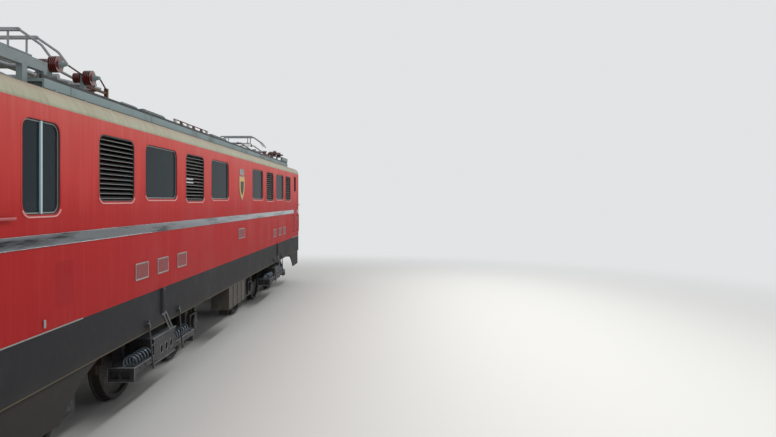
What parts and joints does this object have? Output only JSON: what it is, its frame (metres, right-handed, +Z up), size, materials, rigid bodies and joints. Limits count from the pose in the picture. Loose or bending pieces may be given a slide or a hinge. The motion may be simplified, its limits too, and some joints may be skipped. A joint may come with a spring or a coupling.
{
  "type": "electric locomotive",
  "caption": "Heavy mainline electric locomotive with two three-axle bogies, cabs at both ends, louvred machine room and two folding roof pantographs.",
  "frame": {"origin": "on the floor under the middle, at the bottom centre of the bounding box", "axes": "+X along the locomotive towards the rear cab, +Y to its left side, +Z up"},
  "size_m": [18.4, 3.088, 4.6298],
  "materials": {
    "board_paint": "matt",
    "box_paint": "satin, dusty",
    "brown_glaze": "glossy glaze",
    "cab_paint": "satin",
    "cast_iron": "rusty",
    "copper_bar": "dull",
    "dark_steel": "satin",
    "fitting_paint": "satin, dusty",
    "frame_paint": "satin, oily",
    "gear_paint": "satin, oily",
    "glass": "clear",
    "grey_paint": "satin enamel, dusty",
    "grip_paint": "satin, worn",
    "lamp_glass": "clear lens",
    "machine_paint": "satin",
    "pale_paint": "satin",
    "panto_paint": "satin, weathered",
    "polished_strip": "polished",
    "red_paint": "semi-gloss enamel, faded",
    "roof_paint": "matt enamel, streaked",
    "seat_cover": "soft",
    "wheel_steel": "brown, oily",
    "white_glaze": "glossy glaze",
    "worn_steel": "worn, greased"
  },
  "bodies": {
    "body": {"air_reservoirs": "frame_paint", "aprons": "grey_paint", "buffers": "worn_steel", "busbars": "copper_bar", "cab_back_walls": "cab_paint", "chrome_strips": "polished_strip", "draw_hooks": "worn_steel", "driving_desks": "cab_paint", "handrails": "grip_paint", "headlamps": "lamp_glass", "louvres": "dark_steel", "nose_front": "red_paint", "nose_rear": "red_paint", "pantograph_bases": "panto_paint", "roof": "roof_paint", "roof_boards": "board_paint", "roof_equipment": "pale_paint", "roof_insulators": "brown_glaze", "seats": "seat_cover", "side_boxes": "box_paint", "side_glass": "glass", "side_wall_left": "red_paint", "side_wall_right": "red_paint", "skirt_fittings": "fitting_paint", "skirts": "grey_paint", "transformer": "machine_paint", "underframe": "grey_paint", "white_insulators": "white_glaze", "windscreens": "glass"},
    "bogie_front": {"bogie_frame_front": "frame_paint", "brake_gear_front": "cast_iron", "spring_gear_front": "gear_paint", "suspension_front": "frame_paint", "traction_motors_front": "machine_paint"},
    "bogie_rear": {"bogie_frame_rear": "frame_paint", "brake_gear_rear": "cast_iron", "spring_gear_rear": "gear_paint", "suspension_rear": "frame_paint", "traction_motors_rear": "machine_paint"},
    "wheels_1": {"wheelset_1": "wheel_steel"},
    "wheels_2": {"wheelset_2": "wheel_steel"},
    "wheels_3": {"wheelset_3": "wheel_steel"},
    "wheels_4": {"wheelset_4": "wheel_steel"},
    "wheels_5": {"wheelset_5": "wheel_steel"},
    "wheels_6": {"wheelset_6": "wheel_steel"},
    "door_front": {"door_front": "red_paint"},
    "lower_arm_outer_front": {"lower_arm_outer_front": "panto_paint"},
    "lower_arm_inner_front": {"lower_arm_inner_front": "panto_paint"},
    "upper_arm_outer_front": {"upper_arm_outer_front": "panto_paint"},
    "upper_arm_inner_front": {"upper_arm_inner_front": "panto_paint"},
    "pan_head_front": {"pan_head_front": "panto_paint"},
    "door_rear": {"door_rear": "red_paint"},
    "lower_arm_outer_rear": {"lower_arm_outer_rear": "panto_paint"},
    "lower_arm_inner_rear": {"lower_arm_inner_rear": "panto_paint"},
    "upper_arm_outer_rear": {"upper_arm_outer_rear": "panto_paint"},
    "upper_arm_inner_rear": {"upper_arm_inner_rear": "panto_paint"},
    "pan_head_rear": {"pan_head_rear": "panto_paint"}
  },
  "joints": [
    {"name": "bogie_swing_front", "type": "hinge", "parent": "body", "child": "bogie_front", "pos_m": [-4.35, 0, 1.2], "axis": [0, 0, 1], "range_deg": [-4, 4]},
    {"name": "bogie_swing_rear", "type": "hinge", "parent": "body", "child": "bogie_rear", "pos_m": [4.35, 0, 1.2], "axis": [0, 0, 1], "range_deg": [-4, 4]},
    {"name": "wheel_spin_1", "type": "hinge", "parent": "bogie_front", "child": "wheels_1", "pos_m": [-6.5, 0, 0.66], "axis": [0, 1, 0], "continuous": true},
    {"name": "wheel_spin_2", "type": "hinge", "parent": "bogie_front", "child": "wheels_2", "pos_m": [-4.35, 0, 0.66], "axis": [0, 1, 0], "continuous": true},
    {"name": "wheel_spin_3", "type": "hinge", "parent": "bogie_front", "child": "wheels_3", "pos_m": [-2.2, 0, 0.66], "axis": [0, 1, 0], "continuous": true},
    {"name": "wheel_spin_4", "type": "hinge", "parent": "bogie_rear", "child": "wheels_4", "pos_m": [2.2, 0, 0.66], "axis": [0, 1, 0], "continuous": true},
    {"name": "wheel_spin_5", "type": "hinge", "parent": "bogie_rear", "child": "wheels_5", "pos_m": [4.35, 0, 0.66], "axis": [0, 1, 0], "continuous": true},
    {"name": "wheel_spin_6", "type": "hinge", "parent": "bogie_rear", "child": "wheels_6", "pos_m": [6.5, 0, 0.66], "axis": [0, 1, 0], "continuous": true},
    {"name": "door_swing_front", "type": "hinge", "parent": "body", "child": "door_front", "pos_m": [-7.085, 1.455, 1.6], "axis": [0, 0, 1], "range_deg": [0, 88]},
    {"name": "lower_outer_front", "type": "hinge", "parent": "body", "child": "lower_arm_outer_front", "pos_m": [-6.25, 0, 4.19], "axis": [0, 1, 0], "range_deg": [0, 48]},
    {"name": "upper_outer_front", "type": "hinge", "parent": "lower_arm_outer_front", "child": "upper_arm_outer_front", "pos_m": [-7.59671, 0, 4.28417], "axis": [0, -1, 0], "range_deg": [0, 96]},
    {"name": "lower_inner_front", "type": "hinge", "parent": "body", "child": "lower_arm_inner_front", "pos_m": [-5.55, 0, 4.19], "axis": [0, -1, 0], "range_deg": [0, 48]},
    {"name": "upper_inner_front", "type": "hinge", "parent": "lower_arm_inner_front", "child": "upper_arm_inner_front", "pos_m": [-4.20329, 0, 4.28417], "axis": [0, 1, 0], "range_deg": [0, 96]},
    {"name": "head_level_front", "type": "hinge", "parent": "upper_arm_outer_front", "child": "pan_head_front", "pos_m": [-6.25, 0, 4.37834], "axis": [0, 1, 0], "range_deg": [0, 48]},
    {"name": "door_swing_rear", "type": "hinge", "parent": "body", "child": "door_rear", "pos_m": [7.085, -1.455, 1.6], "axis": [0, 0, 1], "range_deg": [0, 88]},
    {"name": "lower_outer_rear", "type": "hinge", "parent": "body", "child": "lower_arm_outer_rear", "pos_m": [6.25, 0, 4.19], "axis": [0, -1, 0], "range_deg": [0, 48]},
    {"name": "upper_outer_rear", "type": "hinge", "parent": "lower_arm_outer_rear", "child": "upper_arm_outer_rear", "pos_m": [7.59671, 0, 4.28417], "axis": [0, 1, 0], "range_deg": [0, 96]},
    {"name": "lower_inner_rear", "type": "hinge", "parent": "body", "child": "lower_arm_inner_rear", "pos_m": [5.55, 0, 4.19], "axis": [0, 1, 0], "range_deg": [0, 48]},
    {"name": "upper_inner_rear", "type": "hinge", "parent": "lower_arm_inner_rear", "child": "upper_arm_inner_rear", "pos_m": [4.20329, 0, 4.28417], "axis": [0, -1, 0], "range_deg": [0, 96]},
    {"name": "head_level_rear", "type": "hinge", "parent": "upper_arm_outer_rear", "child": "pan_head_rear", "pos_m": [6.25, 0, 4.37834], "axis": [0, -1, 0], "range_deg": [0, 48]}
  ],
  "couplings": [
    {"joint": "lower_inner_front", "follows": "lower_outer_front", "ratio": 1},
    {"joint": "upper_outer_front", "follows": "lower_outer_front", "ratio": 2},
    {"joint": "upper_inner_front", "follows": "lower_outer_front", "ratio": 2},
    {"joint": "head_level_front", "follows": "lower_outer_front", "ratio": 1},
    {"joint": "lower_inner_rear", "follows": "lower_outer_rear", "ratio": 1},
    {"joint": "upper_outer_rear", "follows": "lower_outer_rear", "ratio": 2},
    {"joint": "upper_inner_rear", "follows": "lower_outer_rear", "ratio": 2},
    {"joint": "head_level_rear", "follows": "lower_outer_rear", "ratio": 1}
  ]
}
